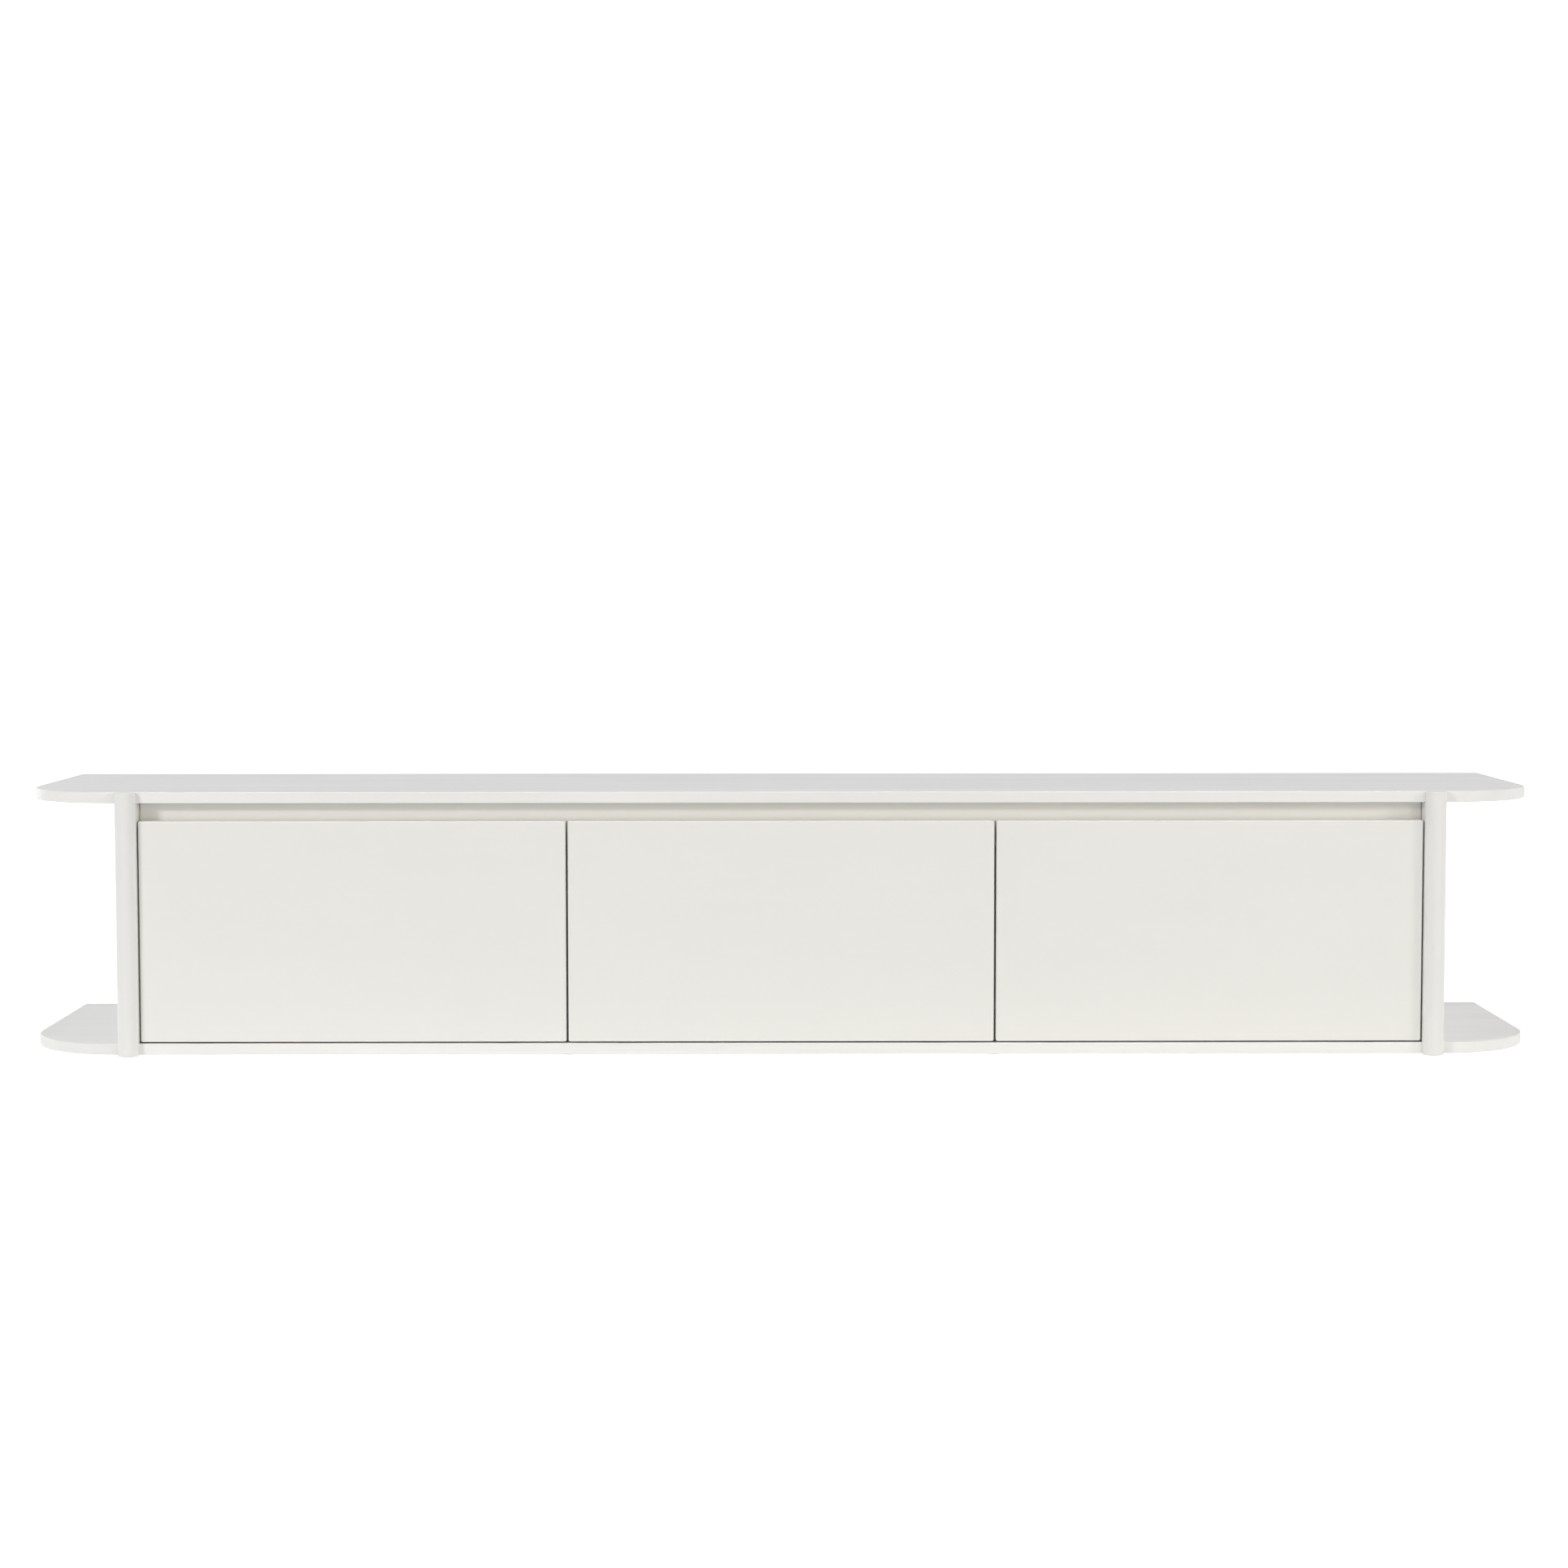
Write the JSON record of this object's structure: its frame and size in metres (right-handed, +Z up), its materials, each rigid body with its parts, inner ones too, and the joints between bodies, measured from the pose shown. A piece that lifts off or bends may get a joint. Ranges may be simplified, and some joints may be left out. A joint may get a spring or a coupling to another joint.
{
  "type": "tv stand with doors",
  "caption": "Long low television stand with flat drop-down doors, a full-width finger gap above them and rounded open end shelves.",
  "frame": {"origin": "on the floor, under the middle of the stand's overall box", "axes": "+X to the right along the stand's length, +Y to the back (the doors face -Y), +Z up"},
  "size_m": [2, 0.4, 0.35],
  "materials": {
    "board_white": "satin white lacquer over veneered board, fine grain showing faintly",
    "panel_white": "satin white lacquer over wood board",
    "door_white": "smooth satin white lacquer on flat door slabs",
    "back_white": "matt white foil on hardboard",
    "grommet_plastic": "fine matt moulded plastic",
    "screw_steel": "bright zinc-plated steel",
    "glide_plastic": "hard satin nylon",
    "fitting_zinc": "dull die-cast zinc",
    "dowel_wood": "bare beech",
    "magnet_black": "dark sintered magnet in a matt sleeve",
    "hinge_steel": "satin nickel-plated steel",
    "pin_steel": "ground steel",
    "housing_plastic": "fine matt moulded plastic",
    "bumper_rubber": "clear soft silicone dots"
  },
  "bodies": {
    "carcass": {"top_board": "board_white", "bottom_board": "board_white", "side_panel_left": "panel_white", "side_panel_right": "panel_white", "partition_left": "panel_white", "partition_right": "panel_white", "finger_rail": "panel_white", "back_panel_left": "back_white", "back_panel_middle": "back_white", "back_panel_right": "back_white", "cable_grommets": "grommet_plastic", "back_panel_screws": "screw_steel", "glide_screws": "screw_steel", "hinge_arm_screws": "screw_steel", "stay_housing_screws": "screw_steel", "floor_glides": "glide_plastic", "cam_locks": "fitting_zinc", "cam_bolts": "fitting_zinc", "wood_dowels": "dowel_wood", "rail_dowels": "dowel_wood", "magnet_catches": "magnet_black", "hinge_arms_left": "hinge_steel", "hinge_arms_middle": "hinge_steel", "hinge_arms_right": "hinge_steel", "stay_spindles": "pin_steel", "stay_housing_left": "housing_plastic", "stay_housing_middle": "housing_plastic", "stay_housing_right": "housing_plastic"},
    "door_left": {"door_left": "door_white", "hinge_leaves_left": "hinge_steel", "hinge_pins_left": "pin_steel", "strike_plate_left": "hinge_steel", "bumpers_left": "bumper_rubber", "stay_bracket_left": "hinge_steel", "door_screws_left": "screw_steel"},
    "lever_left": {"stay_lever_left": "hinge_steel"},
    "rod_left": {"stay_rod_left": "hinge_steel"},
    "door_middle": {"door_middle": "door_white", "hinge_leaves_middle": "hinge_steel", "hinge_pins_middle": "pin_steel", "strike_plate_middle": "hinge_steel", "bumpers_middle": "bumper_rubber", "stay_bracket_middle": "hinge_steel", "door_screws_middle": "screw_steel"},
    "lever_middle": {"stay_lever_middle": "hinge_steel"},
    "rod_middle": {"stay_rod_middle": "hinge_steel"},
    "door_right": {"door_right": "door_white", "hinge_leaves_right": "hinge_steel", "hinge_pins_right": "pin_steel", "strike_plate_right": "hinge_steel", "bumpers_right": "bumper_rubber", "stay_bracket_right": "hinge_steel", "door_screws_right": "screw_steel"},
    "lever_right": {"stay_lever_right": "hinge_steel"},
    "rod_right": {"stay_rod_right": "hinge_steel"}
  },
  "joints": [
    {"name": "door_left_hinge", "type": "hinge", "parent": "carcass", "child": "door_left", "pos_m": [-0.56113, -0.18, 0.034], "axis": [1, 0, 0], "range_deg": [0, 90]},
    {"name": "lever_left_pivot", "type": "hinge", "parent": "carcass", "child": "lever_left", "pos_m": [-0.8266, -0.12, 0.094], "axis": [1, 0, 0], "range_deg": [0, 90]},
    {"name": "rod_left_pivot", "type": "hinge", "parent": "door_left", "child": "rod_left", "pos_m": [-0.8232, -0.16, 0.124], "axis": [1, 0, 0], "range_deg": [-90, 0]},
    {"name": "door_middle_hinge", "type": "hinge", "parent": "carcass", "child": "door_middle", "pos_m": [0, -0.18, 0.034], "axis": [1, 0, 0], "range_deg": [0, 90]},
    {"name": "lever_middle_pivot", "type": "hinge", "parent": "carcass", "child": "lever_middle", "pos_m": [-0.25567, -0.12, 0.094], "axis": [1, 0, 0], "range_deg": [0, 90]},
    {"name": "rod_middle_pivot", "type": "hinge", "parent": "door_middle", "child": "rod_middle", "pos_m": [-0.25227, -0.16, 0.124], "axis": [1, 0, 0], "range_deg": [-90, 0]},
    {"name": "door_right_hinge", "type": "hinge", "parent": "carcass", "child": "door_right", "pos_m": [0.56113, -0.18, 0.034], "axis": [1, 0, 0], "range_deg": [0, 90]},
    {"name": "lever_right_pivot", "type": "hinge", "parent": "carcass", "child": "lever_right", "pos_m": [0.8266, -0.12, 0.094], "axis": [1, 0, 0], "range_deg": [0, 90]},
    {"name": "rod_right_pivot", "type": "hinge", "parent": "door_right", "child": "rod_right", "pos_m": [0.8232, -0.16, 0.124], "axis": [1, 0, 0], "range_deg": [-90, 0]}
  ],
  "couplings": [
    {"joint": "lever_left_pivot", "follows": "door_left_hinge", "ratio": 1},
    {"joint": "rod_left_pivot", "follows": "door_left_hinge", "ratio": -1},
    {"joint": "lever_middle_pivot", "follows": "door_middle_hinge", "ratio": 1},
    {"joint": "rod_middle_pivot", "follows": "door_middle_hinge", "ratio": -1},
    {"joint": "lever_right_pivot", "follows": "door_right_hinge", "ratio": 1},
    {"joint": "rod_right_pivot", "follows": "door_right_hinge", "ratio": -1}
  ]
}
